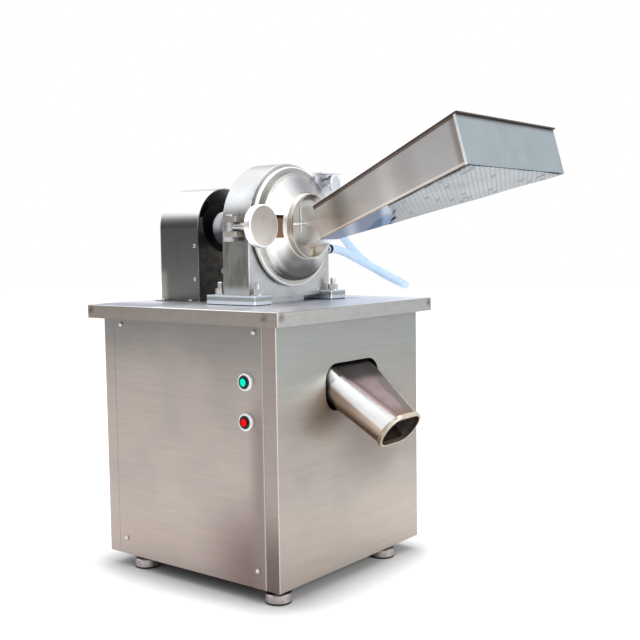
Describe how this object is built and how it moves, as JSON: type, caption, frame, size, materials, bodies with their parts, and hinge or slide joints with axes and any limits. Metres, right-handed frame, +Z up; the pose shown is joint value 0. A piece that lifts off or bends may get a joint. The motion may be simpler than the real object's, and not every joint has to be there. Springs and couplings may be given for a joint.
{
  "type": "spice grinding machine",
  "caption": "Free-standing stainless pin mill: cabinet on levelling feet, round housing with a hinged cone door, sloped feed trough, belt guard, discharge chute and hose loop.",
  "frame": {"origin": "on the floor under the centre of the cabinet", "axes": "+Z up, the feed trough and discharge chute point along -Y, the push buttons face -X"},
  "size_m": [0.7372, 0.8798, 0.8969],
  "materials": {
    "cabinet_steel": "brushed stainless sheet",
    "mill_steel": "machined stainless",
    "sheet_steel": "brushed stainless sheet",
    "polished_steel": "polished stainless",
    "bright_screw": "bright",
    "shaft_steel": "ground",
    "dark_steel": "dark satin",
    "iron": "machined",
    "motor_paint": "satin paint",
    "black_rubber": "matte",
    "foot_steel": "turned",
    "button_ring": "satin",
    "dark_plastic": "matte",
    "green_cap": "gloss",
    "red_cap": "gloss",
    "clear_hose": "translucent"
  },
  "bodies": {
    "root": {"front_sheet": "cabinet_steel", "rear_sheet": "cabinet_steel", "access_panel": "cabinet_steel", "right_panel": "cabinet_steel", "corner_posts": "cabinet_steel", "panel_screws": "bright_screw", "table_top": "cabinet_steel", "base_rails": "cabinet_steel", "levelling_feet": "foot_steel", "motor_plate": "dark_steel", "button_rings": "button_ring", "button_guides": "dark_plastic", "contact_blocks": "dark_plastic", "cable_gland": "dark_plastic", "mill_housing": "mill_steel", "foot_bars": "mill_steel", "bar_pads": "black_rubber", "hold_down_bolts": "bright_screw", "outlet_duct": "mill_steel", "discharge_chute": "polished_steel", "bearing_tube": "mill_steel", "bearing_bolts": "bright_screw", "bearing_outer_rings": "shaft_steel", "bearing_balls": "shaft_steel", "bearing_cover": "mill_steel", "shaft_seal": "black_rubber", "ring_sieve": "mill_steel", "hinge_clevis": "mill_steel", "hinge_pin": "polished_steel", "belt_guard": "sheet_steel", "guard_front_plate": "dark_steel", "guard_screws": "bright_screw", "drive_belts": "black_rubber", "motor_frame": "motor_paint", "motor_stator": "iron", "motor_end_covers": "motor_paint", "motor_bearings": "shaft_steel", "motor_fan_cowl": "motor_paint", "motor_terminal_box": "motor_paint", "hose_fittings": "bright_screw", "cooling_hose": "clear_hose"},
    "door": {"mill_door": "mill_steel", "door_gasket": "black_rubber", "stator_disc": "mill_steel", "eye_rod": "polished_steel", "latch_ear": "mill_steel", "feed_spout": "sheet_steel", "feed_trough": "sheet_steel"},
    "hand_nut": {"hand_nut": "polished_steel"},
    "latch_screw": {"latch_screw": "polished_steel"},
    "mill_rotor": {"main_shaft": "shaft_steel", "rotor_nut": "bright_screw", "rotor_disc": "mill_steel", "mill_pulley": "iron", "bearing_inner_rings": "shaft_steel"},
    "motor_rotor": {"motor_rotor": "iron", "motor_pulley": "iron", "motor_fan": "dark_plastic"},
    "start_button": {"start_button_cap": "green_cap"},
    "stop_button": {"stop_button_cap": "red_cap"}
  },
  "joints": [
    {"name": "door_swing", "type": "hinge", "parent": "root", "child": "door", "pos_m": [-0.15, -0.05, 0.718], "axis": [0, 0, -1], "range_deg": [0, 100]},
    {"name": "hand_nut_turn", "type": "hinge", "parent": "door", "child": "hand_nut", "pos_m": [-0.15, -0.133, 0.718], "axis": [0, 1, 0], "continuous": true},
    {"name": "latch_screw_turn", "type": "hinge", "parent": "door", "child": "latch_screw", "pos_m": [0.104, -0.1, 0.81], "axis": [0, 1, 0], "continuous": true},
    {"name": "motor_spin", "type": "hinge", "parent": "root", "child": "motor_rotor", "pos_m": [0, 0, 0.176], "axis": [0, 1, 0], "continuous": true},
    {"name": "rotor_spin", "type": "hinge", "parent": "root", "child": "mill_rotor", "pos_m": [0, 0, 0.718], "axis": [0, 1, 0], "continuous": true},
    {"name": "start_button_press", "type": "slide", "parent": "root", "child": "start_button", "axis": [1, 0, 0], "range_m": [0, 0.004], "stiffness_N_per_m": 400},
    {"name": "stop_button_press", "type": "slide", "parent": "root", "child": "stop_button", "axis": [1, 0, 0], "range_m": [0, 0.004], "stiffness_N_per_m": 400}
  ],
  "couplings": [
    {"joint": "rotor_spin", "follows": "motor_spin", "ratio": 1.52}
  ]
}
